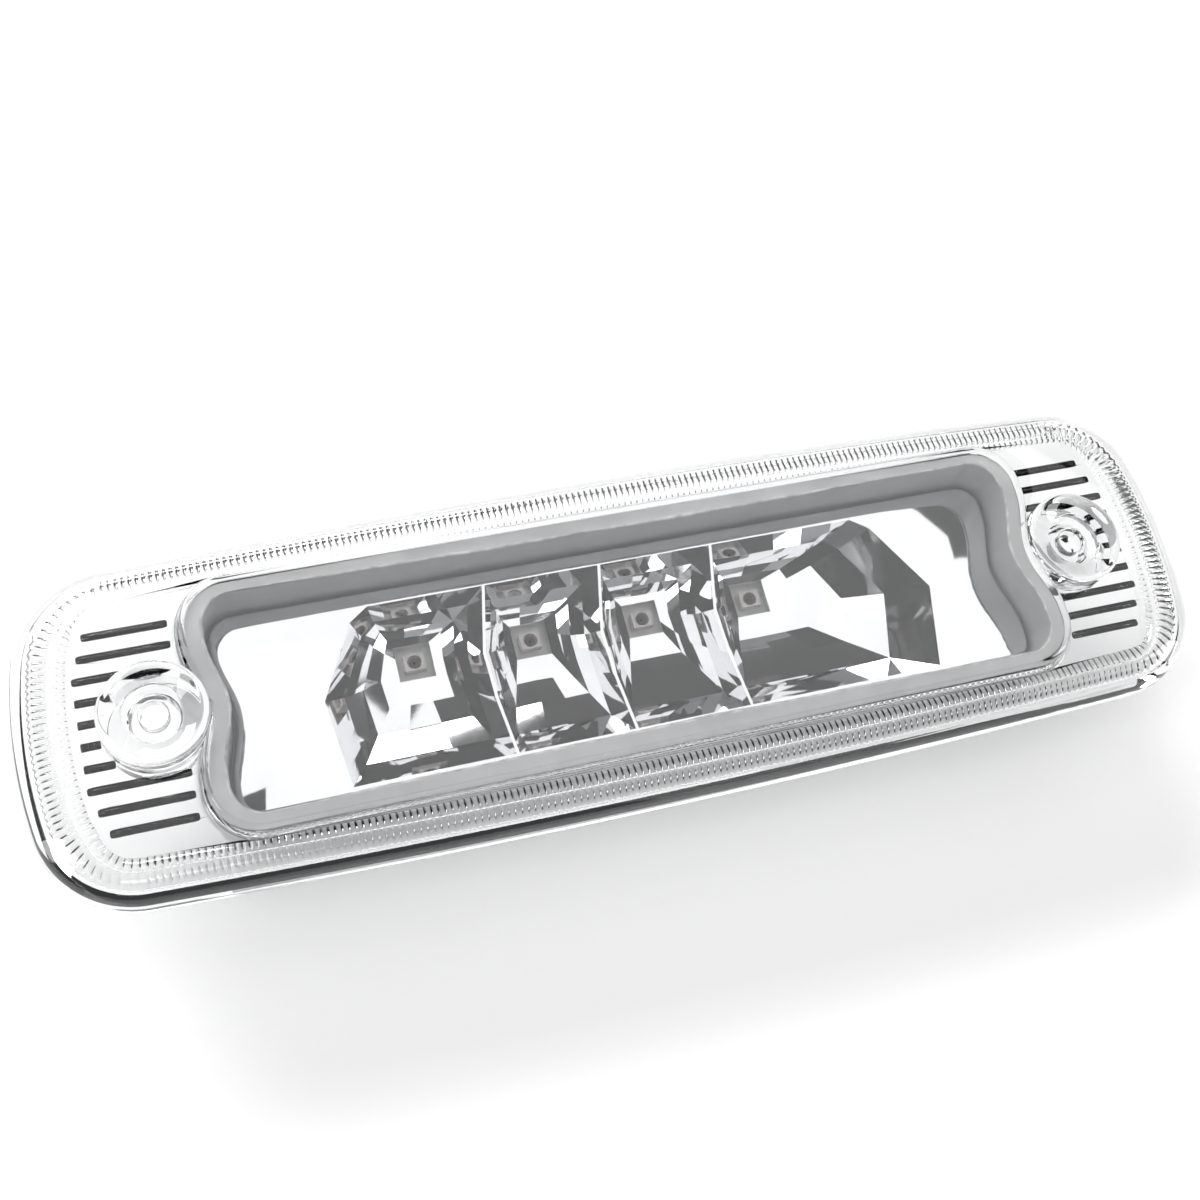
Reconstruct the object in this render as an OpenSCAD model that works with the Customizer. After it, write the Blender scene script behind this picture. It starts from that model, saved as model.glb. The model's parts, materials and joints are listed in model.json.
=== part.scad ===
// Third brake light: a clear one-piece lens welded to a rear housing that holds a metallised
// four-bowl reflector, an LED board and its two inner leads.
// +X runs along the lamp, +Y is its upper long edge, +Z points out of the lens.
// The origin is the centre of the housing's flat back, and everything stands above it.

/* [Flange and lens] */
// Half of the flange's overall length
flange_half_x = 99; // [98:0.5:100]
// Half of the flange's overall height
flange_half_y = 28.8; // [28.4:0.2:29.4]
// Radius of the flange's rounded corners
corner_r = 16; // [15:0.5:17]
// Wall thickness of the clear lens
lens_wall = 2.2; // [1.9:0.1:2.3]
// Height of the flange's back edge above the housing's back
flange_z = 22; // [22:0.5:25]
// Height of the window's outer face above the flange's back edge
window_z = 9; // [8.8:0.1:9.2]

/* [Screw bosses] */
// Distance between the two screw holes
hole_pitch = 155.2; // [155:0.1:156]
// Diameter of each screw hole
hole_d = 4.4; // [4:0.1:5]
// Outer diameter of each boss
boss_d = 16.6; // [16:0.1:17]
// Diameter of the seat for the screw head
seat_d = 9.3; // [8.8:0.1:9.6]

/* [Reflector and lamps] */
// Distance between neighbouring LEDs
led_pitch = 20; // [19.5:0.1:20.2]
// Position of the first LED along the lamp
led_x0 = -36; // [-36.5:0.1:-35.5]
// Height of the LED row above the lamp's centre line
led_y = 5.9; // [5:0.1:6.5]
// Side of each square opening that an LED shows through
opening_side = 6.1; // [5.6:0.1:6.6]

/* [Wire exit] */
// Diameter of each inner lead over its insulation
lead_d = 1.6; // [1.4:0.1:1.8]

/* [Hidden] */
$fn = 96;
touch = 0.01;                 // small overrun that keeps cuts clean

// Outline of the flange: long edges, ends and corners are tangent arcs.
long_r = 2000;
end_r = 80;
long_c = [0, flange_half_y - long_r];
end_c = [flange_half_x - end_r, 0];

// The meeting point, on the far side of the line p to q, of circles (p, a) and (q, b).
function circles_meet(p, a, q, b) =
    let (d = norm(q - p), u = (q - p) / d, s = (d * d + a * a - b * b) / (2 * d),
         h = sqrt(a * a - s * s))
    p + s * u + h * [-u[1], u[0]];
corner_c = circles_meet(end_c, end_r - corner_r, long_c, long_r - corner_r);
end_a = atan2(corner_c[1], corner_c[0] - end_c[0]);
long_a = atan2(corner_c[1] - long_c[1], corner_c[0]);

function arc(c, r, a0, a1, n) = [for (i = [0 : n]) c + r * [cos(a0 + (a1 - a0) * i / n),
                                                           sin(a0 + (a1 - a0) * i / n)]];
function mirror_x(pts) = [for (i = [len(pts) - 1 : -1 : 0]) [-pts[i][0], pts[i][1]]];
function mirror_y(pts) = [for (i = [len(pts) - 1 : -1 : 0]) [pts[i][0], -pts[i][1]]];
function but_first(pts) = [for (i = [1 : len(pts) - 1]) pts[i]];
function but_ends(pts) = [for (i = [1 : len(pts) - 2]) pts[i]];
// Closed outline from its upper right quarter, which runs from the X axis to the Y axis.
function whole(quarter) = let (upper = concat(quarter, but_first(mirror_x(quarter))))
    concat(upper, but_ends(mirror_y(upper)));
// Outline of the flange, d inside its edge.
function flange_pts(d) = whole(concat(arc(end_c, end_r - d, 0, end_a, 2),
    but_first(arc(corner_c, corner_r - d, end_a, long_a, 7)),
    but_first(arc(long_c, long_r - d, long_a, 90, 2))));

// Lens levels, measured from the flange's back edge.
panel_z = 5.4;                // outer face of the two end panels
crest_z = 6.2;                // highest line of the rounded rim
rim_w = 6.2;                  // from the outline in to the end panels
pane_t = 2.6;                 // thickness of the window pane
weld_z = window_z - pane_t;   // where the housing is welded to the lens
boss_z = 10;
seat_z = 8.3;                 // the screw head bears here
hole_low_z = 4.3;             // the screw hole widens below this level
relief_d = 9;

// Outer and inner faces of the rim, as [distance in from the outline, height].
rim_outer = [[0, 0], [0.15, 1.5], [0.6, 3.2], [1.3, 4.3], [2.3, 5.1], [3.6, 5.8], [4.8, crest_z],
             [5.7, 6], [rim_w, panel_z]];
rim_inner = [[rim_w - 0.2, panel_z - lens_wall], [4.9, crest_z - lens_wall], [3.7, 5.8 - lens_wall],
             [2.9, 5.1 - lens_wall], [2.5, 1.4], [2.2, 0]];

// Window: straight long edges, rounded corners and ends that wave inward beside the bosses.
window_half_x = 70;           // at the bulges either side of each boss
window_half_y = 18.6;
window_dip = 2.2;             // how far each end waves inward at its middle
dip_half_y = 11;
window_corner_r = 6;
function end_wave(y) = window_half_x - window_dip * (1 + cos(180 * min(abs(y) / dip_half_y, 1))) / 2;
// Window outline grown by g.
function window_pts(g) =
    let (hy = window_half_y + g, r = window_corner_r + g, c = [window_half_x + g - r, hy - r])
    whole(concat([for (i = [0 : 6]) [end_wave(dip_half_y * i / 6) + g, dip_half_y * i / 6]],
                 arc(c, r, 0, 90, 7), [[0, hy]]));
weld_w = 2.2;                 // width of the welded band, which is also the housing's wall
plateau_grow = weld_w / 2 + 1;

// Inner parts, measured from the housing's back.
back_t = 2.2;
ledge_z = flange_z - 6;       // step in the housing's wall that the reflector stands on
ledge_w = 1.3;
plate_z = flange_z - 1;       // front face of the reflector's flat ends
plate_t = 1.4;
opening_z = flange_z - 9.5;   // front edge of the square openings
board_t = 1.6;
board_z = opening_z - 1.9;    // front face of the LED board
board_half = [61, 13.5];
screw_at = [57, 9];
package = [3.5, 2.8, 1.9];
window_d = 2.4;
window_floor_d = 1.7;
window_depth = 1.1;
die = [0.35, 0.35, 0.15];

// Reflector: bowl outlines at the plate, and how the ridges between bowls bend.
array_top = 14;
array_low = -15;
array_left = [[-42.6, array_top], [-45.9, 11.7], [-52.2, -0.6], [-50.4, array_low]];
array_right = [[50.4, array_low], [53.4, -0.7], [46, 11.8], [42.9, array_top]];
ridge_w = 0.5;
ridge_lean = [[2.4, array_top], [0, 2.5], [0.3, -5.4], [1.5, array_low]];
function ridge(i, side) = [for (p = ridge_lean)
    [led_x0 + (i + 0.5) * led_pitch + 0.4 + p[0] + side * ridge_w / 2, p[1]]];
function reversed(pts) = [for (i = [len(pts) - 1 : -1 : 0]) pts[i]];
function bowl_rim(i) = concat(i == 0 ? array_left : ridge(i - 1, 1),
                              i == 3 ? array_right : reversed(ridge(i, -1)));
function led_at(i) = [led_x0 + i * led_pitch, led_y];
// Floor of a bowl: a square with slightly bowed sides, as eight points that pair with the rim's.
function bowl_floor(i) = [for (k = [[-1, 1], [-1.05, 0.4], [-1.05, -0.4], [-1, -1],
                                    [1, -1], [1.05, -0.4], [1.05, 0.4], [1, 1]])
    led_at(i) + k * opening_side / 2];
// The trough that carries all four bowls: its rim and floor outlines, from the upper left corner.
bowl_t = 1.2;
trough_rim = [for (p = concat(array_left, array_right)) p + bowl_t * [sign(p[0]), p[1] > 0 ? 1 : -1]];
trough_floor = [for (i = [0 : 7]) bowl_floor(i < 4 ? 0 : 3)[i]
    + bowl_t * [i < 4 ? -1 : 1, i < 2 || i > 5 ? 1 : -1]];

// Wire exit in the housing's back.
exit_at = [36, -2];
exit_d = 9;
exit_flange_d = 12.6;
exit_flange_t = 1.1;
lead_gap = 3.6;
lead_run_z = 5.2;
lead_end_x = 21;
vent_at = [-40, 0];
vent_d = 7;
vent_deep = 0.5;

// Places children on the axis of each screw hole.
module on_both_sides() {
    for (s = [-1, 1]) translate([s * hole_pitch / 2, 0, 0]) children();
}

// Rim and end panels in one shell: rings of points up the outer face and down the inner face,
// each face closed by a flat cap.
module flange_shell() {
    rings = concat(rim_outer, rim_inner);
    n = len(flange_pts(0));
    caps = len(rim_outer);
    last = len(rings) - 1;
    points = [for (ring = rings, p = flange_pts(ring[0])) [p[0], p[1], ring[1]]];
    pairs = concat([for (r = [0 : last - 1]) if (r != caps - 1) [r, r + 1]], [[last, 0]]);
    polyhedron(points, concat(
        [[for (i = [n - 1 : -1 : 0]) (caps - 1) * n + i], [for (i = [0 : n - 1]) caps * n + i]],
        [for (p = pairs, i = [0 : n - 1]) [p[0] * n + i, p[1] * n + i, p[0] * n + (i + 1) % n]],
        [for (p = pairs, i = [0 : n - 1])
            [p[0] * n + (i + 1) % n, p[1] * n + i, p[1] * n + (i + 1) % n]]));
}

// Ribs moulded on the back of the end panels, seen through the clear plastic.
module panel_grooves() {
    pitch = 3.46;
    deep = 0.7;
    outer_x = 88.4;
    for (s = [-1, 1], i = [-5 : 4]) {
        y = (i + 0.25) * pitch;
        beside_boss = abs(y + pitch / 4) < boss_d / 2;
        x = beside_boss ? hole_pitch / 2 + boss_d / 2 + 0.3 : window_half_x + plateau_grow + 0.4;
        translate([s > 0 ? x : -outer_x, y, panel_z - lens_wall - touch])
            cube([outer_x - x, pitch / 2, deep]);
    }
}

module lens() {
    wall_low = 0.4;           // the window's wall runs this far below the end panels' inner face
    color([0.92, 0.94, 0.95, 0.45]) translate([0, 0, flange_z]) difference() {
        union() {
            flange_shell();
            translate([0, 0, panel_z - lens_wall - wall_low])
                linear_extrude(window_z - panel_z + lens_wall + wall_low) polygon(window_pts(plateau_grow));
            on_both_sides() cylinder(d = boss_d, h = boss_z);
        }
        // Hollow behind the window: the housing's wall comes up it to meet the pane.
        translate([0, 0, -1]) linear_extrude(weld_z + 1) polygon(window_pts(weld_w / 2 + 0.1));
        panel_grooves();
        on_both_sides() {
            translate([0, 0, seat_z]) cylinder(d = seat_d, h = 3);
            translate([0, 0, boss_z - 0.8]) cylinder(d1 = seat_d, d2 = boss_d - 2.4, h = 0.9);
            translate([0, 0, -1]) cylinder(d = hole_d, h = boss_z + 2);
            translate([0, 0, -1]) cylinder(d = relief_d, h = hole_low_z + 1);
        }
    }
}

// Plastic squeezed out along the inner edge of the weld.
module weld_flash() {
    high = 0.5;
    color([0.75, 0.76, 0.77]) translate([0, 0, flange_z + weld_z - high]) linear_extrude(high)
        difference() {
            polygon(window_pts(-weld_w / 2));
            polygon(window_pts(-weld_w / 2 - 0.6));
        }
}

module housing() {
    wall_high = flange_z + weld_z;
    color([0.62, 0.63, 0.65]) difference() {
        union() {
            translate([0, 0, 1]) linear_extrude(wall_high - 1) polygon(window_pts(weld_w / 2));
            linear_extrude(1 + touch) polygon(window_pts(weld_w / 2 - 0.8));
        }
        translate([0, 0, ledge_z]) linear_extrude(wall_high) polygon(window_pts(-weld_w / 2));
        translate([0, 0, back_t]) linear_extrude(wall_high) polygon(window_pts(-weld_w / 2 - ledge_w));
        translate([exit_at[0], exit_at[1], -1]) cylinder(d = exit_d, h = back_t + 2);
        translate([exit_at[0], exit_at[1], -1]) cylinder(d = exit_flange_d + 0.2, h = exit_flange_t + 1);
        translate([vent_at[0], vent_at[1], -1]) cylinder(d = 2.5, h = back_t + 2);
        translate([vent_at[0], vent_at[1], -1]) cylinder(d = vent_d + 0.3, h = vent_deep + 1);
    }
}

module vent_membrane() {
    color("white") translate([vent_at[0], vent_at[1], vent_deep - 0.3]) cylinder(d = vent_d, h = 0.3);
}

// The two places where the leads pass through the grommet.
module at_leads() {
    for (s = [-1, 1]) translate([exit_at[0], exit_at[1] + s * lead_gap / 2, 0]) children();
}

module wire_grommet() {
    inner_h = back_t + 1.2;
    color([0.12, 0.12, 0.13]) difference() {
        translate([exit_at[0], exit_at[1], 0]) rotate_extrude()
            polygon([[0, 0], [exit_flange_d / 2, 0], [exit_flange_d / 2, exit_flange_t],
                     [exit_d / 2, exit_flange_t], [exit_d / 2, back_t], [exit_flange_d / 2 - 0.6, back_t],
                     [exit_flange_d / 2 - 1.2, inner_h], [0, inner_h]]);
        at_leads() translate([0, 0, -1]) cylinder(d = lead_d, h = inner_h + 2);
    }
}

// Solid between a bowl's floor outline and its rim outline, as flat facets.
module bowl_solid(floor_pts, rim_pts, low, high) {
    n = len(rim_pts);
    polyhedron([for (p = floor_pts) [p[0], p[1], low], for (p = rim_pts) [p[0], p[1], high]],
        concat([[for (i = [0 : n - 1]) i], [for (i = [n - 1 : -1 : 0]) n + i]],
               [for (i = [0 : n - 1]) [i, n + i, (i + 1) % n]],
               [for (i = [0 : n - 1]) [(i + 1) % n, n + i, n + (i + 1) % n]]));
}

module bowl(i) {
    bowl_solid(bowl_floor(i), bowl_rim(i), opening_z, plate_z + 1);
}

// A square bar on each LED's axis, from the board up past the bowl's floor.
module at_openings(side, up) {
    for (i = [0 : 3]) translate([led_at(i)[0] - side / 2, led_at(i)[1] - side / 2, board_z])
        cube([side, side, opening_z - board_z + up]);
}

// Places children at the four board screws, on the board's front face.
module board_posts() {
    for (sx = [-1, 1], sy = [-1, 1]) translate([sx * screw_at[0], sy * screw_at[1], board_z]) children();
}

module reflector() {
    skirt_t = 1.2;
    edge = -weld_w / 2 - 0.4;     // a small gap inside the housing's wall
    collar_t = 0.96;              // wall round each square opening
    post_d = 5.4;
    pilot_d = 2.1;
    color([0.86, 0.87, 0.88]) difference() {
        union() {
            difference() {
                translate([0, 0, ledge_z]) linear_extrude(plate_z - ledge_z) polygon(window_pts(edge));
                translate([0, 0, ledge_z - 1]) linear_extrude(plate_z - plate_t - ledge_z + 1)
                    polygon(window_pts(edge - skirt_t));
            }
            bowl_solid(trough_floor, trough_rim, opening_z - bowl_t, plate_z - plate_t / 2);
            at_openings(opening_side + 2 * collar_t, 0.4);
            board_posts() cylinder(d = post_d, h = plate_z - plate_t / 2 - board_z);
        }
        bowl(0);
        bowl(1);
        bowl(2);
        bowl(3);
        translate([0, 0, -1]) at_openings(opening_side - 0.3, 2);
        board_posts() translate([0, 0, -1]) cylinder(d = pilot_d, h = 7);
    }
}

module led_board() {
    clearance_d = 2.9;
    notch = 4;
    color([0.83, 0.84, 0.83]) difference() {
        translate([-board_half[0], -board_half[1], board_z - board_t])
            cube([2 * board_half[0], 2 * board_half[1], board_t]);
        board_posts() translate([0, 0, -board_t - 1]) cylinder(d = clearance_d, h = board_t + 2);
        // Notches that clear the moulded corners of the housing.
        for (sx = [-1, 1], sy = [-1, 1])
            translate([sx * board_half[0], sy * board_half[1], board_z])
                cube([notch, notch, 8], center = true);
    }
}

module board_screws() {
    head_h = 1.7;
    thread_d = 2.1;
    slot = [2.6, 0.5, 1.4];
    color([0.7, 0.7, 0.68]) board_posts() translate([0, 0, -board_t]) difference() {
        union() {
            cylinder(d = thread_d, h = 5.5);
            translate([0, 0, -head_h]) cylinder(d1 = 3.6, d2 = 4.5, h = head_h);
        }
        for (a = [0, 90]) translate([0, 0, -head_h]) rotate([0, 0, a]) cube(slot, center = true);
    }
}

// Places children at the middle of an LED's front face.
module at_led(i) {
    translate([led_at(i)[0], led_at(i)[1], opening_z]) children();
}

// The round cup in a package's face, filled by its window.
module led_cup() {
    translate([0, 0, -window_depth]) cylinder(d1 = window_floor_d, d2 = window_d, h = window_depth);
}

module led_package(i) {
    color([0.93, 0.93, 0.9]) at_led(i) difference() {
        translate([-package[0] / 2, -package[1] / 2, -package[2] + 0.15])
            cube([package[0], package[1], package[2] - 0.15]);
        led_cup();
    }
}

module led_window(i) {
    color([0.95, 0.9, 0.85, 0.5]) at_led(i) difference() {
        led_cup();
        led_die();
    }
}

module led_die() {
    translate([0, 0, die[2] / 2 - window_depth]) cube(die, center = true);
}

module led_dies() {
    color([0.75, 0.1, 0.08]) for (i = [0 : 3]) at_led(i) led_die();
}

// Tinned contacts that wrap under each end of a package.
module led_contacts() {
    plate = 0.15;
    wide = 2.1;
    foot = 1.2;
    high = 1;
    color([0.75, 0.75, 0.74]) for (i = [0 : 3], turn = [0, 180])
        at_led(i) rotate([0, 0, turn]) translate([-package[0] / 2 - plate, -wide / 2, -package[2]]) {
            cube([foot, wide, plate]);
            cube([plate, wide, high]);
        }
}

// Surface-mount part on the board's back: a body between two end caps.
module chip(size, cap) {
    translate([0, 0, -size[2] / 2]) {
        cube([size[0] - 2 * cap, size[1], size[2]], center = true);
        for (s = [-1, 1])
            translate([s * (size[0] - cap) / 2, 0, 0]) cube([cap, size[1], size[2]], center = true);
    }
}

// Places children at a point of the board's back face.
module on_board_back(x, y) {
    translate([x, y, board_z - board_t]) children();
}

module resistor_1() {
    color([0.15, 0.15, 0.16]) on_board_back(-8, 4) chip([6.4, 3.2, 0.65], 0.7);
}

module resistor_2() {
    color([0.15, 0.15, 0.16]) on_board_back(-8, -4) chip([6.4, 3.2, 0.65], 0.7);
}

module polarity_diode() {
    color([0.1, 0.1, 0.11]) on_board_back(6, -2) chip([5, 2.6, 2.1], 0.4);
}

// A lead: straight up through the grommet, one bend, along the board, one bend up to its pad.
module lead(s) {
    bend = 2;
    y = exit_at[1] + s * lead_gap / 2;
    rise = board_z - board_t - 0.2 - lead_run_z - bend;
    translate([exit_at[0], y, 0]) cylinder(d = lead_d, h = lead_run_z - bend);
    translate([exit_at[0] - bend, y, lead_run_z - bend]) rotate([90, 0, 0])
        rotate_extrude(angle = 90) translate([bend, 0]) circle(d = lead_d, $fn = 32);
    translate([lead_end_x + bend, y, lead_run_z]) rotate([0, 90, 0])
        cylinder(d = lead_d, h = exit_at[0] - lead_end_x - 2 * bend);
    translate([lead_end_x + bend, y, lead_run_z + bend]) rotate([90, 0, 0]) rotate([0, 0, 180])
        rotate_extrude(angle = 90) translate([bend, 0]) circle(d = lead_d, $fn = 32);
    translate([lead_end_x, y, lead_run_z + bend]) cylinder(d = lead_d, h = rise);
}

module live_lead() { color([0.7, 0.08, 0.06]) lead(1); }
module earth_lead() { color([0.1, 0.1, 0.1]) lead(-1); }

module lead_solder() {
    color([0.78, 0.78, 0.77]) for (s = [-1, 1])
        translate([lead_end_x, exit_at[1] + s * lead_gap / 2, board_z - board_t - 0.2])
            cylinder(d = 2.6, h = 0.2);
}

lens();
weld_flash();
housing();
vent_membrane();
wire_grommet();
reflector();
led_board();
board_screws();
led_package(0);  // led_1_package
led_package(1);  // led_2_package
led_package(2);  // led_3_package
led_package(3);  // led_4_package
led_window(0);  // led_1_window
led_window(1);  // led_2_window
led_window(2);  // led_3_window
led_window(3);  // led_4_window
led_dies();
led_contacts();
resistor_1();
resistor_2();
polarity_diode();
live_lead();
earth_lead();
lead_solder();
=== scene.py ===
import json
import math

import bpy
import numpy as np
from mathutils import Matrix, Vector


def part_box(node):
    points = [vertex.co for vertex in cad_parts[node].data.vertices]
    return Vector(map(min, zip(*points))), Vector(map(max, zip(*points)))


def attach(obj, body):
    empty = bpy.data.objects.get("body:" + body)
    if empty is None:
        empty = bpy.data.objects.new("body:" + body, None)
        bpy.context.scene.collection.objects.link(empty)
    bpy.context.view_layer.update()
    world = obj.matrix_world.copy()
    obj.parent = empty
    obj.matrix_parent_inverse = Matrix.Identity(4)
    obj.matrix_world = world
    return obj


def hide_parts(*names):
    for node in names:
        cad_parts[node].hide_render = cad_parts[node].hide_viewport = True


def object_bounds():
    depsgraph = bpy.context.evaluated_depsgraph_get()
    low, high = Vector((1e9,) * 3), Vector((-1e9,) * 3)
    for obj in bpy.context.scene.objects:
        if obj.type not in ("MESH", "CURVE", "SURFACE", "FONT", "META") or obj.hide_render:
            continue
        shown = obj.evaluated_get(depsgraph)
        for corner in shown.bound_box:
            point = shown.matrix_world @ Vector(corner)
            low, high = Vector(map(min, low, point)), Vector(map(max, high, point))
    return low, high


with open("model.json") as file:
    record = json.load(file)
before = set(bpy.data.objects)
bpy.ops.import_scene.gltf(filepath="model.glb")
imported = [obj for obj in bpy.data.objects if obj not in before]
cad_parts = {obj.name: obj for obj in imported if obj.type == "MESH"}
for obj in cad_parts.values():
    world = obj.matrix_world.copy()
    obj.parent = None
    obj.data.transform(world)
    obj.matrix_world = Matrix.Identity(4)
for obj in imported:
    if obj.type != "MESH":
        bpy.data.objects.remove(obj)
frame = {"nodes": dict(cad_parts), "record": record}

CAD_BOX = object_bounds()
MM = 0.001
TAU = 2 * math.pi
rng = np.random.default_rng(7)

# ---------------------------------------------------------------- driving sizes, in millimetres
LENS_LO, LENS_HI = (np.array(c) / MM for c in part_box("lens"))
FLANGE_Z = LENS_LO[2]                 # the flange's back edge
HALF_X, HALF_Y = LENS_HI[0], LENS_HI[1]
CORNER_R = 16.0
END_R = 80.0
LONG_R = 2000.0
LENS_WALL = 2.2
PANEL_Z = 5.4                         # levels above the flange's back edge
CREST_Z = 6.2
WINDOW_Z = 9.0
PANE_T = 2.6
WELD_Z = WINDOW_Z - PANE_T
BOSS_Z = 10.0
SEAT_Z = 8.3
HOLE_LOW_Z = 4.3
SCREWS = frame["record"]["mounts"][0]["dims"]
HOLE_X = SCREWS["spacing_x_mm"] / 2
HOLE_R = SCREWS["hole_r_mm"]
BOSS_R = 8.3
SEAT_R = 4.65
RELIEF_R = 4.5
FLUTE_PITCH = 1.05
WELD_W = 2.2
LEDGE_Z = FLANGE_Z - 6.0
PLATE_Z = FLANGE_Z - 1.0
OPENING_Z = FLANGE_Z - 9.5
BOARD_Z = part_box("led_board")[1].z / MM
LED_PITCH = 20.0
LED_X0 = -36.0
LED_Y = 5.9
OPENING = 6.1


# ---------------------------------------------------------------- materials
def new_material(name):
    m = bpy.data.materials.new(name)
    m.use_nodes = True
    nt = m.node_tree
    return m, nt, nt.nodes["Principled BSDF"]


def noise(nt, scale):
    """Noise over the object's own space, in cycles per metre."""
    coord = nt.nodes.new("ShaderNodeTexCoord")
    n = nt.nodes.new("ShaderNodeTexNoise")
    n.inputs["Scale"].default_value = scale
    n.inputs["Detail"].default_value = 4.0
    nt.links.new(coord.outputs["Object"], n.inputs["Vector"])
    return n


def ramp(nt, source, low, high):
    """Colours from low to high over the middle of the source's range."""
    r = nt.nodes.new("ShaderNodeValToRGB")
    for stop, position, colour in zip(r.color_ramp.elements, (0.3, 0.7), (low, high)):
        stop.position = position
        stop.color = (*colour, 1)
    nt.links.new(source, r.inputs["Fac"])
    return r


def spread(nt, source, low, high):
    """The source's range of 0 to 1, mapped to low to high."""
    r = nt.nodes.new("ShaderNodeMapRange")
    r.inputs["To Min"].default_value = low
    r.inputs["To Max"].default_value = high
    nt.links.new(source, r.inputs["Value"])
    return r


def bump(nt, shader, source, strength, distance):
    b = nt.nodes.new("ShaderNodeBump")
    b.inputs["Strength"].default_value = strength
    b.inputs["Distance"].default_value = distance
    nt.links.new(source, b.inputs["Height"])
    nt.links.new(b.outputs["Normal"], shader.inputs["Normal"])


def textured(name, low, high, rough, metallic, scale, grain_depth, grain_scale):
    """A solid finish: its colour and roughness drift, and a fine grain stands up from it."""
    m, nt, shader = new_material(name)
    drift = noise(nt, scale)
    nt.links.new(ramp(nt, drift.outputs["Fac"], low, high).outputs["Color"], shader.inputs["Base Color"])
    nt.links.new(spread(nt, drift.outputs["Fac"], *rough).outputs["Result"], shader.inputs["Roughness"])
    shader.inputs["Metallic"].default_value = metallic
    bump(nt, shader, noise(nt, grain_scale).outputs["Fac"], grain_depth, 0.00005)
    return m


def clear(name, tint, rough, ior):
    """Clear plastic: a faint tint, faint moulding waves and a polish that varies a little."""
    m, nt, shader = new_material(name)
    drift = noise(nt, 60.0)
    low = tuple(c * 0.985 for c in tint)
    nt.links.new(ramp(nt, drift.outputs["Fac"], low, tint).outputs["Color"], shader.inputs["Base Color"])
    nt.links.new(spread(nt, drift.outputs["Fac"], *rough).outputs["Result"], shader.inputs["Roughness"])
    shader.inputs["Transmission Weight"].default_value = 1.0
    shader.inputs["IOR"].default_value = ior
    bump(nt, shader, noise(nt, 120.0).outputs["Fac"], 0.02, 0.0002)
    return m


# One row a finish: darkest and lightest colour, roughness range, metallic, cycles per metre of the
# drift, then depth and cycles per metre of the grain.
FINISHES = {
    "reflector_chrome": ((0.86, 0.86, 0.87), (0.93, 0.93, 0.935), (0.015, 0.05), 1.0, 80.0, 0.03, 160.0),
    "housing_grey": ((0.6, 0.61, 0.62), (0.66, 0.67, 0.68), (0.42, 0.6), 0.0, 300.0, 0.25, 3500.0),
    "weld_grey": ((0.58, 0.58, 0.585), (0.68, 0.68, 0.685), (0.3, 0.5), 0.0, 120.0, 0.2, 900.0),
    "flash_grey": ((0.5, 0.5, 0.505), (0.92, 0.92, 0.92), (0.25, 0.5), 0.0, 500.0, 0.5, 900.0),
    "board_white": ((0.84, 0.85, 0.84), (0.92, 0.93, 0.92), (0.35, 0.5), 0.0, 1500.0, 0.1, 4000.0),
    "led_white": ((0.9, 0.84, 0.82), (0.96, 0.9, 0.88), (0.4, 0.6), 0.0, 2500.0, 0.1, 5000.0),
    "die_red": ((0.5, 0.06, 0.05), (0.75, 0.14, 0.1), (0.2, 0.35), 0.0, 6000.0, 0.1, 9000.0),
    "tin": ((0.62, 0.62, 0.61), (0.78, 0.78, 0.76), (0.22, 0.4), 1.0, 2000.0, 0.2, 4000.0),
    "zinc_steel": ((0.55, 0.55, 0.53), (0.7, 0.7, 0.68), (0.28, 0.42), 1.0, 1500.0, 0.15, 3500.0),
    "black_epoxy": ((0.02, 0.02, 0.022), (0.05, 0.05, 0.055), (0.5, 0.7), 0.0, 1500.0, 0.2, 5000.0),
    "grommet_rubber": ((0.02, 0.02, 0.02), (0.045, 0.045, 0.045), (0.6, 0.8), 0.0, 900.0, 0.3, 3000.0),
    "red_insulation": ((0.42, 0.02, 0.015), (0.55, 0.04, 0.03), (0.35, 0.5), 0.0, 400.0, 0.1, 2500.0),
    "black_insulation": ((0.015, 0.015, 0.015), (0.035, 0.035, 0.035), (0.35, 0.5), 0.0, 400.0, 0.1, 2500.0),
    "vent_felt": ((0.75, 0.75, 0.73), (0.88, 0.88, 0.86), (0.8, 0.95), 0.0, 3000.0, 0.6, 6000.0),
    "floor_white": ((0.93, 0.93, 0.93), (0.95, 0.95, 0.95), (0.6, 0.75), 0.0, 4.0, 0.02, 400.0),
}
LOOKS = {name: textured(name, *finish) for name, finish in FINISHES.items()}
LOOKS["clear_lens"] = clear("clear_lens", (0.84, 0.844, 0.848), (0.0, 0.03), ior=1.49)
LOOKS["led_silicone"] = clear("led_silicone", (0.98, 0.94, 0.9), (0.02, 0.08), ior=1.41)
lens_plastic, chrome = LOOKS["clear_lens"], LOOKS["reflector_chrome"]

# Slots whose finish goes by another name. The rest share it.
SLOT_FINISH = {"weld_plastic": "flash_grey", "housing_plastic": "housing_grey", "membrane": "vent_felt",
               "board": "board_white", "led_window": "led_silicone"}
NODE_SLOTS = {s["node"]: s["material_slot"] for s in frame["record"]["subparts"]}
for node_name, node_object in frame["nodes"].items():
    slot_name = NODE_SLOTS[node_name]
    look = LOOKS[SLOT_FINISH.get(slot_name, slot_name)]
    if not node_object.material_slots:
        node_object.data.materials.append(look)
    for material_slot in node_object.material_slots:
        material_slot.material = look


# ---------------------------------------------------------------- outlines
def circles_meet(p, a, q, b):
    """The meeting point, on the left of the line p to q, of circles (p, a) and (q, b)."""
    d = np.linalg.norm(q - p)
    u = (q - p) / d
    s = (d * d + a * a - b * b) / (2 * d)
    return p + s * u + math.sqrt(a * a - s * s) * np.array([-u[1], u[0]])


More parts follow.
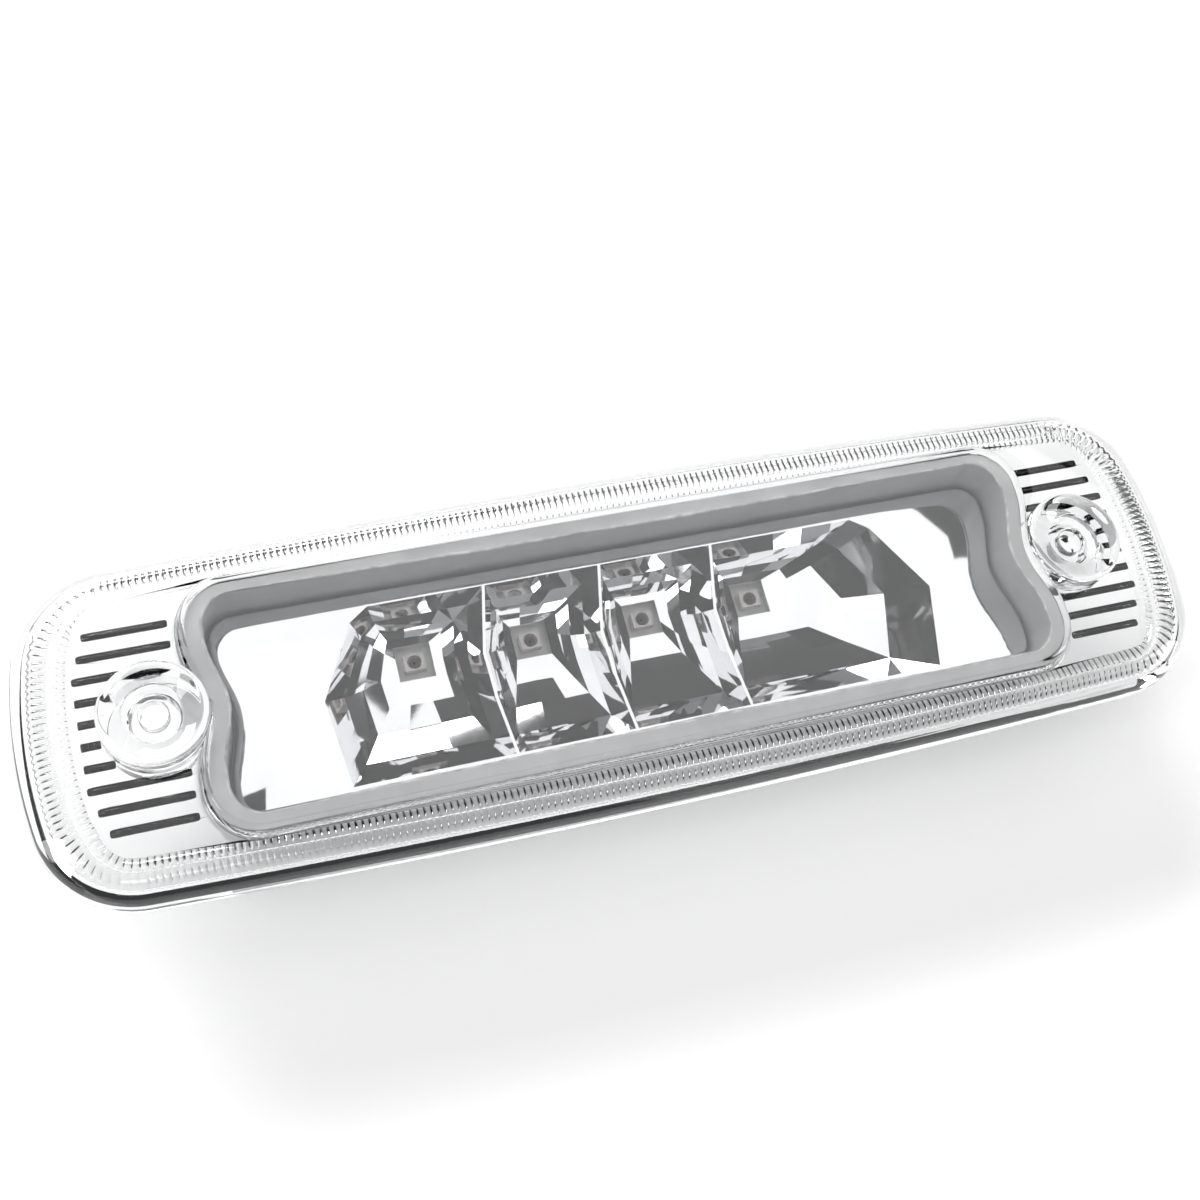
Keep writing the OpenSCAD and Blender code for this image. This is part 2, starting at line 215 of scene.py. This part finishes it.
END_C = np.array([HALF_X - END_R, 0.0])
LONG_C = np.array([0.0, HALF_Y - LONG_R])
CORNER_C = circles_meet(END_C, END_R - CORNER_R, LONG_C, LONG_R - CORNER_R)
END_A = math.atan2(CORNER_C[1], CORNER_C[0] - END_C[0])
LONG_A = math.atan2(CORNER_C[1] - LONG_C[1], CORNER_C[0])
SPACING_D = 7.0                       # the flutes are evenly spaced this far inside the outline
QUARTER_ARCS = ((END_C, END_R, 0.0, END_A), (CORNER_C, CORNER_R, END_A, LONG_A),
                (LONG_C, LONG_R, LONG_A, math.pi / 2))
QUARTER_LENGTHS = [(r - SPACING_D) * (a1 - a0) for _, r, a0, a1 in QUARTER_ARCS]
QUARTER = sum(QUARTER_LENGTHS)


def flange_columns(n):
    """n points round the flange: the centre, radius and direction of the arc that each lies on."""
    centres, radii, directions = [], [], []
    for t in (np.arange(n) + 0.5) / n * 4:
        quadrant, share = int(t), t % 1
        s = (share if quadrant % 2 == 0 else 1 - share) * QUARTER
        for (c, r, a0, a1), length in zip(QUARTER_ARCS, QUARTER_LENGTHS):
            if s <= length + 1e-9:
                break
            s -= length
        a = a0 + s / (r - SPACING_D)
        sx = 1 if quadrant in (0, 3) else -1
        sy = 1 if quadrant in (0, 1) else -1
        centres.append((sx * c[0], sy * c[1]))
        radii.append(r)
        directions.append((sx * math.cos(a), sy * math.sin(a)))
    return np.array(centres), np.array(radii), np.array(directions)


def flange_ring(columns, d):
    centres, radii, directions = columns
    return centres + (radii - d)[:, None] * directions


WINDOW_X, WINDOW_Y, WINDOW_DIP, DIP_Y, WINDOW_R = 70.0, 18.6, 2.2, 11.0, 6.0


def window_quarter(g, steps=400):
    """Upper right quarter of the window's outline grown by g, from the X axis to the Y axis."""
    y = np.linspace(0, DIP_Y, steps)
    wave = np.c_[WINDOW_X - WINDOW_DIP * (1 + np.cos(math.pi * y / DIP_Y)) / 2 + g, y]
    hy, r = WINDOW_Y + g, WINDOW_R + g
    a = np.linspace(0, math.pi / 2, steps)
    corner = np.c_[WINDOW_X + g - r + r * np.cos(a), hy - r + r * np.sin(a)]
    side = np.c_[np.linspace(WINDOW_X + g - r, 0, steps * 2), np.full(steps * 2, hy)]
    return np.concatenate([wave, corner[corner[:, 1] > DIP_Y], side[1:]])


def window_ring(g, shares):
    """Points of the window's outline grown by g, at shares of the way round, from 0 to 4 quarters."""
    q = window_quarter(g)
    along = np.r_[0, np.cumsum(np.linalg.norm(np.diff(q, axis=0), axis=1))]
    quadrant = shares.astype(int) % 4
    s = np.where(quadrant % 2 == 0, shares % 1, 1 - shares % 1) * along[-1]
    x, y = np.interp(s, along, q[:, 0]), np.interp(s, along, q[:, 1])
    return np.c_[np.where((quadrant == 0) | (quadrant == 3), x, -x), np.where(quadrant < 2, y, -y)]


# ---------------------------------------------------------------- mesh building
def link(o):
    bpy.context.scene.collection.objects.link(o)
    return o


def mesh_object(name, vertices, faces, material, smooth_angle=35.0):
    """A mesh from millimetre points, smooth across edges that bend less than smooth_angle."""
    mesh = bpy.data.meshes.new(name)
    mesh.from_pydata((np.asarray(vertices) * MM).tolist(), [], [list(map(int, f)) for f in faces])
    mesh.validate()
    mesh.update()
    for m in material if isinstance(material, list) else [material]:
        mesh.materials.append(m)
    o = link(bpy.data.objects.new(name, mesh))
    set_smooth(o, smooth_angle)
    return o


def set_smooth(o, angle):
    o.data.shade_smooth()
    o.data.set_sharp_from_angle(angle=math.radians(angle))


def ring_faces(n, pairs):
    """Quads between rings of n points; each pair is (lower ring, upper ring)."""
    i = np.arange(n)
    j = (i + 1) % n
    return [q for a, b in pairs for q in np.c_[a * n + i, a * n + j, b * n + j, b * n + i].tolist()]


def spun(name, profile, centre, material, steps):
    """A profile of (radius, height), which starts and ends on a vertical axis, turned round that axis."""
    a = np.arange(steps) / steps * TAU
    vertices, rings = [], []
    for r, z in profile:
        if r < 1e-6:
            rings.append([len(vertices)] * steps)
            vertices.append((centre[0], centre[1], z))
        else:
            rings.append(list(range(len(vertices), len(vertices) + steps)))
            vertices += [(centre[0] + r * math.cos(t), centre[1] + r * math.sin(t), z) for t in a]
    faces = []
    for lower, upper in zip(rings[:-1], rings[1:]):
        for i in range(steps):
            j = (i + 1) % steps
            face = []
            for v in (lower[i], lower[j], upper[j], upper[i]):
                if v not in face:
                    face.append(v)
            if len(face) > 2:
                faces.append(face)
    return mesh_object(name, vertices, faces, material)


def apply_modifiers(o):
    dg = bpy.context.evaluated_depsgraph_get()
    mesh = bpy.data.meshes.new_from_object(o.evaluated_get(dg))
    o.modifiers.clear()
    o.data = mesh


def combine(o, other, operation):
    """One boolean, applied, with the other object removed."""
    b = o.modifiers.new("combine", "BOOLEAN")
    b.object = other
    b.operation = operation
    b.solver = "MANIFOLD"
    apply_modifiers(o)
    bpy.data.objects.remove(other)


def finish_piece(o, slot, *nodes):
    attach(o, "root")
    if nodes:
        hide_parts(*nodes)
    return o


# ---------------------------------------------------------------- lens
def smooth_curve(points, per_span):
    """Points of a Catmull-Rom curve through the given points."""
    p = np.array(points, float)
    p = np.vstack([2 * p[0] - p[1], p, 2 * p[-1] - p[-2]])
    out = []
    for i in range(1, len(p) - 2):
        for t in np.arange(per_span) / per_span:
            a, b, c, d = p[i - 1:i + 3]
            square = 2 * a - 5 * b + 4 * c - d
            cube = 3 * b - a - 3 * c + d
            out.append(0.5 * (2 * b + (c - a) * t + square * t ** 2 + cube * t ** 3))
    out.append(p[-2])
    return np.array(out)


RIM_END_W, RIM_SIDE_W = 8.9, 6.9      # the rim is wider at the lamp's ends than along its sides
FLUTE_DEPTH = 0.32
COLUMNS_PER_FLUTE = 6
HOLLOW_G = WELD_W / 2 + 0.1           # the space behind the pane, as growth of the window's outline
PANEL_LOW_Z = PANEL_Z - LENS_WALL     # inner face of the end panels

# Sections as (distance in from the flange's edge, level), at the width that the rim has at the ends.
RIM_OUTER = smooth_curve([(0, 0), (0.1, 1.5), (0.5, 3.0), (1.2, 4.2), (2.5, 5.1), (4.5, 5.85),
                          (6.6, CREST_Z), (8.0, 5.95), (RIM_END_W, PANEL_Z)], 4)
FLUTES_INNER = smooth_curve([(8.7, PANEL_LOW_Z), (8.0, 3.55), (6.7, CREST_Z - LENS_WALL)], 4)
FLUTES_OUTER = smooth_curve([(6.5, 3.75), (5.0, 3.45), (3.6, 2.95)], 4)
SKIRT_INNER = smooth_curve([(2.9, 2.2), (2.4, 1.0), (2.2, 0.0)], 3)

# Sections of the window's wall as (growth of the window's outline, level).
WALL_OUTER = ((2.95, 5.45), (2.7, 5.6), (2.45, 6.0), (2.1, 7.4), (1.85, 8.4), (1.7, 8.75), (1.45, 8.95),
              (1.15, WINDOW_Z))
WALL_INNER = ((HOLLOW_G - 0.5, WELD_Z), (HOLLOW_G - 0.02, WELD_Z), (HOLLOW_G, WELD_Z - 0.05), (HOLLOW_G, 3.0),
              (HOLLOW_G + 0.05, 2.85), (1.9, 2.85), (2.0, 2.95), (2.2, 3.15))


def lens_shell():
    """Flange, rim, end panels and window wall as one closed shell, with flutes under the rim."""
    flutes = int(round(QUARTER / FLUTE_PITCH)) * 4
    n = flutes * COLUMNS_PER_FLUTE
    columns = flange_columns(n)
    shares = (np.arange(n) + 0.5) / n * 4
    phase = np.arange(n) % COLUMNS_PER_FLUTE / COLUMNS_PER_FLUTE * TAU
    flute = FLUTE_DEPTH * (np.abs(np.sin(phase / 2)) - 0.5)
    sideways = np.clip((np.abs(columns[2][:, 1]) - 0.5) / 0.45, 0, 1)
    narrow = (RIM_END_W + (RIM_SIDE_W - RIM_END_W) * sideways) / RIM_END_W
    points = []

    def ring(xy, z):
        points.append(np.c_[xy, np.broadcast_to(z, (n,))])
        return len(points) - 1

    def rim_ring(d, z):
        """The rim narrows along the sides, but its outermost 2.5 mm stays as it is."""
        scale = 1 + (narrow - 1) * min((d - 2.5) / 2.5, 1) if d > 2.5 else 1.0
        return ring(flange_ring(columns, d * scale), z)

    def fluted(section, fade_in):
        """Rings of a fluted section, whose flutes die out at both ends."""
        last = len(section) - 1
        swells = [min(k / fade_in, 1) * min((last - k) / 1.5, 1) for k in range(last + 1)]
        return [rim_ring(d, z + flute * swell) for (d, z), swell in zip(section, swells)]

    def panel_rings(start, end, shares_across, z):
        return [ring(start + (end - start) * t, z) for t in shares_across]

    outer = [rim_ring(d, z) for d, z in RIM_OUTER]
    panel_edge = points[outer[-1]][:, :2]
    outer += panel_rings(panel_edge, window_ring(3.0, shares), (0.04, 0.35, 0.7, 0.96), PANEL_Z)
    outer += [ring(window_ring(g, shares), z) for g, z in WALL_OUTER]
    outer.append(ring(window_ring(0.6, shares), WINDOW_Z))
    inner = [ring(window_ring(g, shares), z) for g, z in WALL_INNER]
    panel_edge = flange_ring(columns, RIM_END_W * narrow)
    inner += panel_rings(window_ring(2.4, shares), panel_edge, (0.02, 0.3, 0.65, 0.98), PANEL_LOW_Z)
    inner += fluted(FLUTES_INNER, 2) + fluted(FLUTES_OUTER, 1.5)
    inner += [rim_ring(d, z) for d, z in SKIRT_INNER]

    pairs = list(zip(outer[:-1], outer[1:])) + list(zip(inner[:-1], inner[1:])) + [(inner[-1], outer[0])]
    faces = ring_faces(n, pairs)
    faces.append([outer[-1] * n + i for i in range(n)])
    faces.append([inner[0] * n + i for i in range(n - 1, -1, -1)])
    vertices = np.concatenate(points) + (0, 0, FLANGE_Z)
    return mesh_object("lens_body", vertices, faces, lens_plastic, 40)


BOSS_STEPS = 144                      # facets round a boss


def boss_solid(side):
    round_r = 0.7
    round_z = BOSS_Z - round_r
    profile = [(0, 0), (BOSS_R - 0.1, 0), (BOSS_R, 0.1), (BOSS_R, round_z)]
    profile += [(BOSS_R - round_r + round_r * math.cos(a), round_z + round_r * math.sin(a))
                for a in np.linspace(0.2, math.pi / 2, 7)]
    profile += [(0, BOSS_Z)]
    profile = [(r, FLANGE_Z + z) for r, z in profile]
    return spun("boss", profile, (side * HOLE_X, 0), lens_plastic, BOSS_STEPS)


def boss_cut(side):
    """Relief, screw hole, seat and dish of one boss, with small rounded edges."""
    dish_r = 7.3
    above = BOSS_Z + 2
    profile = [(0, -1), (RELIEF_R, -1), (RELIEF_R, HOLE_LOW_Z - 0.3), (RELIEF_R - 0.3, HOLE_LOW_Z),
               (HOLE_R + 0.1, HOLE_LOW_Z), (HOLE_R, HOLE_LOW_Z + 0.1), (HOLE_R, SEAT_Z - 0.15),
               (HOLE_R + 0.15, SEAT_Z), (SEAT_R - 0.2, SEAT_Z), (SEAT_R, SEAT_Z + 0.15),
               (SEAT_R, BOSS_Z - 0.9), (SEAT_R + 0.15, BOSS_Z - 0.75), (dish_r - 0.3, BOSS_Z - 0.1),
               (dish_r, BOSS_Z + 0.02), (dish_r, above), (0, above)]
    profile = [(r, FLANGE_Z + z) for r, z in profile]
    return spun("boss_cut", profile, (side * HOLE_X, 0), lens_plastic, BOSS_STEPS)


def groove(x0, x1, y, width, depth):
    """A round-bottomed channel under an end panel, running along X with rounded ends."""
    steps, stations = 12, 9
    z0 = FLANGE_Z + PANEL_LOW_Z
    vertices, faces = [], []
    for i in range(stations):
        t = i / (stations - 1)
        x = x0 + (x1 - x0) * t
        rise = depth * min(1.0, math.sqrt(min(t, 1 - t) / 0.06 + 0.02))
        arch = [math.pi * k / steps for k in range(steps + 1)]
        vertices.append((x, y - width / 2, z0 - 0.5))
        vertices += [(x, y - width / 2 * math.cos(a), z0 - 0.07 + rise * math.sin(a)) for a in arch]
        vertices.append((x, y + width / 2, z0 - 0.5))
    m = steps + 3
    for i in range(stations - 1):
        for k in range(m):
            a, b = i * m + k, i * m + (k + 1) % m
            faces.append([a, b, b + m, a + m])
    faces.append(list(range(m - 1, -1, -1)))
    faces.append([(stations - 1) * m + k for k in range(m)])
    return mesh_object("groove", vertices, faces, lens_plastic, 50)


def joined(objects):
    for o in bpy.context.selected_objects:
        o.select_set(False)
    for o in objects:
        o.select_set(True)
    bpy.context.view_layer.objects.active = objects[0]
    bpy.ops.object.join()
    return objects[0]


GROOVE_PITCH = 3.46
GROOVE_W = 1.35
GROOVE_DEPTH = 0.55
GROOVE_OUTER_X = 88.9                 # where the grooves stop at the rim
GROOVE_INNER_X = 73.6                 # and at the window's wall


def panel_grooves():
    """Ten grooves under each end panel. Those level with a boss start beside it."""
    grooves = []
    for side in (-1, 1):
        for i in range(-5, 5):
            y = (i + 0.5) * GROOVE_PITCH
            beside_boss = abs(y) < BOSS_R - 0.5
            inner = HOLE_X + math.sqrt(BOSS_R ** 2 - y * y) + 0.2 if beside_boss else GROOVE_INNER_X
            outer = GROOVE_OUTER_X - max(0.0, (abs(y) - 9) * 0.35)
            start, end = sorted((side * inner, side * outer))
            grooves.append(groove(start, end, y, GROOVE_W, GROOVE_DEPTH))
    return joined(grooves)


def build_lens():
    lens = lens_shell()
    grooves = panel_grooves()
    for side in (-1, 1):
        combine(lens, boss_solid(side), "UNION")
        combine(lens, boss_cut(side), "DIFFERENCE")
    combine(lens, grooves, "DIFFERENCE")
    set_smooth(lens, 40)
    return finish_piece(lens, "clear_lens", "lens")


# ---------------------------------------------------------------- housing and weld
def loft(name, section, n, material, smooth):
    """A closed solid with n points round it, from a section of (growth of the window's outline, level)."""
    shares = (np.arange(n) + 0.5) / n * 4
    vertices = np.concatenate([np.c_[window_ring(g, shares), np.full(n, z)] for g, z in section])
    last = len(section) - 1
    faces = ring_faces(n, [(k, k + 1) for k in range(last)])
    faces.append(list(range(n - 1, -1, -1)))
    faces.append([last * n + i for i in range(n)])
    return mesh_object(name, vertices, faces, material, smooth)


def centre_of(node):
    low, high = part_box(node)
    return (low.x + high.x) / 2 / MM, (low.y + high.y) / 2 / MM


# A stepped hole through the housing's back for each of these: bore radius, recess radius, recess depth.
BACK_HOLES = {"wire_grommet": (4.5, 6.4, 1.1), "vent_membrane": (1.25, 3.65, 0.5)}


def build_housing():
    """An open box with rounded edges, and a ledge inside that the reflector stands on."""
    w = WELD_W / 2
    top = FLANGE_Z + WELD_Z
    section = [(w - 1.6, 0.0), (w - 0.9, 0.05), (w - 0.5, 0.3), (w - 0.3, 0.9), (w - 0.25, 2.0),
               (w - 0.02, top - 0.2), (w - 0.1, top), (-w + 0.1, top), (-w, top - 0.1),
               (-w, LEDGE_Z + 0.2), (-w, LEDGE_Z), (-w - 1.2, LEDGE_Z), (-w - 1.3, LEDGE_Z - 0.1),
               (-w - 1.4, 3.0), (-w - 1.7, 2.4), (-w - 2.4, 2.2)]
    housing = loft("housing_body", section, 720, LOOKS["housing_grey"], 40)
    for node, (bore_r, recess_r, recess) in BACK_HOLES.items():
        profile = [(0, -1), (recess_r, -1), (recess_r, recess), (bore_r, recess), (bore_r, 4), (0, 4)]
        combine(housing, spun("cut", profile, centre_of(node), LOOKS["housing_grey"], 64), "DIFFERENCE")
    set_smooth(housing, 40)
    return finish_piece(housing, "housing_plastic", "housing")


def build_weld():
    """The welded band, bitten into the pane's back, with squeezed-out plastic along its inner edge."""
    n = 2400
    shares = (np.arange(n) + 0.5) / n * 4
    t = np.arange(n) / n * TAU
    wobble = sum(rng.uniform(0.3, 1) / (1 + k / 60) * np.sin(k * t + rng.uniform(0, TAU))
                 for k in (7, 13, 29, 53, 97, 151, 211, 307))
    wobble = wobble / np.abs(wobble).max()
    w = WELD_W / 2
    z = FLANGE_Z + WELD_Z
    width = 0.42 + 0.16 * wobble
    drop = 0.32 + 0.14 * np.roll(wobble, 40)
    base = window_ring(0.0, shares)
    normal = window_ring(0.01, shares) - base
    normal /= np.linalg.norm(normal, axis=1)[:, None]

    def ring(g, level):
        return np.c_[base + normal * np.broadcast_to(g, (n,))[:, None], np.broadcast_to(level, (n,))]

    band = [ring(w - 0.05, z - 0.02), ring(w - 0.02, z + 0.05), ring(-w + 0.05, z + 0.05)]
    bead = [ring(-w - width * 0.6, z + 0.03), ring(-w - width, z - 0.12), ring(-w - width * 0.8, z - drop),
            ring(-w - 0.02, z - drop * 1.1), ring(-w + 0.02, z - 0.02)]
    rings = band + bead
    faces = ring_faces(n, [(k, (k + 1) % len(rings)) for k in range(len(rings))])
    materials = [LOOKS["weld_grey"], LOOKS["flash_grey"]]
    weld = mesh_object("weld_seam", np.concatenate(rings), faces, materials, 50)
    index = np.zeros(len(weld.data.polygons), np.int32)
    index[(len(band) - 1) * n:(len(rings) - 1) * n] = 1
    weld.data.polygons.foreach_set("material_index", index)
    return finish_piece(weld, "weld_plastic", "weld_flash")


# ---------------------------------------------------------------- reflector
ARRAY_TOP, ARRAY_LOW = 14.0, -15.0
ARRAY_LEFT = [(-42.6, ARRAY_TOP), (-45.9, 11.7), (-52.2, -0.6), (-50.4, ARRAY_LOW)]
ARRAY_RIGHT = [(42.9, ARRAY_TOP), (46.0, 11.8), (53.4, -0.7), (50.4, ARRAY_LOW)]
RIDGE_LEAN = [(2.4, ARRAY_TOP), (0.0, 2.5), (0.3, -5.4), (1.5, ARRAY_LOW)]
RIDGE_W = 0.5
WALL_Y = -10.6                        # steeper facets run along the bowls' lower edge, from here
PLATE_T = 1.4
FLOOR_T = 1.2                         # plastic under the bowls' floors


def between(a, b, count):
    return [tuple(np.array(a) + (np.array(b) - np.array(a)) * (k + 1) / (count + 1)) for k in range(count)]


def bowl_rim(i):
    """Twelve points round a bowl's edge on the plate, from its upper left corner down the left side."""
    def ridge(k, side):
        return [(LED_X0 + (k + 0.5) * LED_PITCH + 0.4 + x + side * RIDGE_W / 2, y) for x, y in RIDGE_LEAN]
    left = ARRAY_LEFT if i == 0 else ridge(i - 1, 1)
    right = (ARRAY_RIGHT if i == 3 else ridge(i, -1))[::-1]
    return np.array(left + between(left[-1], right[0], 2) + right + between(right[-1], left[0], 2))


# Rings of a bowl, as (share of the way from its floor to its rim, share of the height).
BOWL_RINGS = ((0.0, 0.0), (0.24, 0.06), (0.48, 0.2), (0.74, 0.5), (1.0, 1.0))
WALL_RING = 3                         # this ring's lower side is set back to WALL_Y


def bowl_cutter(i):
    """The space in front of one bowl: a square floor that opens to the rim through rings of facets."""
    rim = bowl_rim(i)
    n = len(rim)
    h = OPENING / 2
    side = [1, 0.36, -0.36, -1]
    square = [(-h, h * y) for y in side] + [(-h * 0.36, -h), (h * 0.36, -h)]
    square += [(h, -h * y) for y in side] + [(h * 0.36, h), (-h * 0.36, h)]
    floor = np.array(square) + (LED_X0 + LED_PITCH * i, LED_Y)
    rings = []
    for k, (out, up) in enumerate(BOWL_RINGS):
        xy = floor + (rim - floor) * out
        z = np.full(n, up)
        if 0 < out < 1:
            z += rng.uniform(-0.035, 0.035, n)
        if k == WALL_RING:
            xy[3:7, 1] = WALL_Y
            z[3:7] = 0.4
        rings.append(np.c_[xy, OPENING_Z + (PLATE_Z - OPENING_Z) * z])
    rings.append(np.c_[rim, np.full(n, PLATE_Z + 2)])
    last = len(rings) - 1
    faces = ring_faces(n, [(k, k + 1) for k in range(last)])
    faces.append([last * n + j for j in range(n)])
    faces.append(list(range(n - 1, -1, -1)))
    return mesh_object("bowl_cut", np.concatenate(rings), faces, chrome, 12)


def box_mesh(name, low, high, material):
    """A block between two opposite corners."""
    (x0, y0, z0), (x1, y1, z1) = low, high
    vertices = [(x, y, z) for z in (z0, z1) for x, y in ((x0, y0), (x1, y0), (x1, y1), (x0, y1))]
    faces = [[3, 2, 1, 0], [4, 5, 6, 7], [0, 1, 5, 4], [1, 2, 6, 5], [2, 3, 7, 6], [3, 0, 4, 7]]
    return mesh_object(name, vertices, faces, material, 30)


def build_reflector():
    foot = -WELD_W / 2 - 0.4
    edge = -WELD_W / 2 - 0.9
    inner = edge - 1.2
    section = [(inner, PLATE_Z - PLATE_T), (inner, LEDGE_Z), (foot, LEDGE_Z), (foot, LEDGE_Z + 0.8),
               (edge, LEDGE_Z + 0.9), (edge, PLATE_Z - 0.8), (edge - 0.06, PLATE_Z - 0.5),
               (edge - 0.22, PLATE_Z - 0.24), (edge - 0.5, PLATE_Z - 0.06), (edge - 0.85, PLATE_Z)]
    body = loft("reflector_body", section, 480, chrome, 30)
    under_plate = PLATE_Z - 0.6
    trough = box_mesh("trough", (-54.6, -16.4, OPENING_Z - FLOOR_T), (54.9, 15.3, under_plate), chrome)
    combine(body, trough, "UNION")
    h = OPENING / 2
    for i in range(4):
        combine(body, bowl_cutter(i), "DIFFERENCE")
        x = LED_X0 + LED_PITCH * i
        low, high = (x - h, LED_Y - h, OPENING_Z - 3), (x + h, LED_Y + h, OPENING_Z + 0.02)
        combine(body, box_mesh("hole", low, high, chrome), "DIFFERENCE")
    screws_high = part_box("board_screws")[1]
    post_r, head_r = 2.7, 2.25
    post_x, post_y = screws_high.x / MM - head_r, screws_high.y / MM - head_r
    profile = [(0, BOARD_Z), (post_r, BOARD_Z), (post_r, under_plate), (0, under_plate)]
    for sx in (-1, 1):
        for sy in (-1, 1):
            combine(body, spun("post", profile, (sx * post_x, sy * post_y), chrome, 48), "UNION")
    set_smooth(body, 24)
    for face in body.data.polygons:
        x, y, z = face.center / MM
        if ARRAY_LOW < y < ARRAY_TOP and abs(x) < 53.4 and z < PLATE_Z - 0.01:
            face.use_smooth = False
    return finish_piece(body, "reflector_chrome", "reflector")


# ---------------------------------------------------------------- softened edges on the small parts
def soften(node, width):
    """Small rounded edges on a CAD node, by modifier, so they catch the light."""
    o = frame["nodes"][node]
    b = o.modifiers.new("soft_edges", "BEVEL")
    b.width = width * MM
    b.segments = 2
    b.limit_method = "ANGLE"
    b.angle_limit = math.radians(40)


# ---------------------------------------------------------------- camera, light, floor
def build_stage():
    """Plain pale floor under the lamp, and soft boxes round it."""
    ground = (0, 0, CAD_BOX[0].z)
    bpy.ops.mesh.primitive_grid_add(x_subdivisions=8, y_subdivisions=8, size=6.0, location=ground)
    floor = bpy.context.object
    floor.name = "floor"
    floor.data.materials.append(LOOKS["floor_white"])
    world = bpy.data.worlds.new("studio")
    bpy.context.scene.world = world
    world.use_nodes = True
    background = world.node_tree.nodes["Background"]
    background.inputs["Color"].default_value = (0.9, 0.92, 0.95, 1)
    background.inputs["Strength"].default_value = 0.05

    def softbox(name, at, wide, high, brightness):
        """A rectangular light that faces the lamp, of the given radiance."""
        light = bpy.data.lights.new(name, "AREA")
        light.shape = "RECTANGLE"
        light.size, light.size_y = wide, high
        light.energy = math.pi * wide * high * brightness
        o = link(bpy.data.objects.new(name, light))
        o.location = at
        o.rotation_euler = (-Vector(at)).to_track_quat("-Z", "Y").to_euler()

    softbox("overhead", (0.2, 0.2, 0.85), 0.98, 0.66, 1.6)
    softbox("back", (-0.3, 0.9, 0.6), 1.0, 0.3, 16.0)
    softbox("left", (-0.9, -0.1, 0.5), 0.25, 0.8, 8.0)
    softbox("right", (0.9, -0.3, 0.5), 0.25, 0.8, 7.0)
    softbox("front", (-0.1, -0.95, 0.6), 1.0, 0.2, 5.0)


# The camera looks down on the lamp from over its lower left.
EYE = (-64.6, -71.2, FLANGE_Z + 231.0)
EYE_TURN = (21.352, -9.399, -14.555)  # degrees about X, then Y, then Z, from looking straight down


def build_camera():
    camera = bpy.data.cameras.new("camera")
    camera.sensor_width = 36.0
    camera.lens = 45.17
    camera.clip_start, camera.clip_end = 0.01, 20
    o = link(bpy.data.objects.new("camera", camera))
    o.location = Vector(EYE) * MM
    o.rotation_euler = [math.radians(a) for a in EYE_TURN]
    bpy.context.scene.camera = o


build_camera()
build_stage()
build_lens()
build_housing()
build_weld()
build_reflector()
for number in (1, 2, 3, 4):
    soften(f"led_{number}_package", 0.12)
for small in ("led_board", "resistor_1", "resistor_2", "polarity_diode"):
    soften(small, 0.08)

scene = bpy.context.scene
scene.view_settings.view_transform = "Standard"
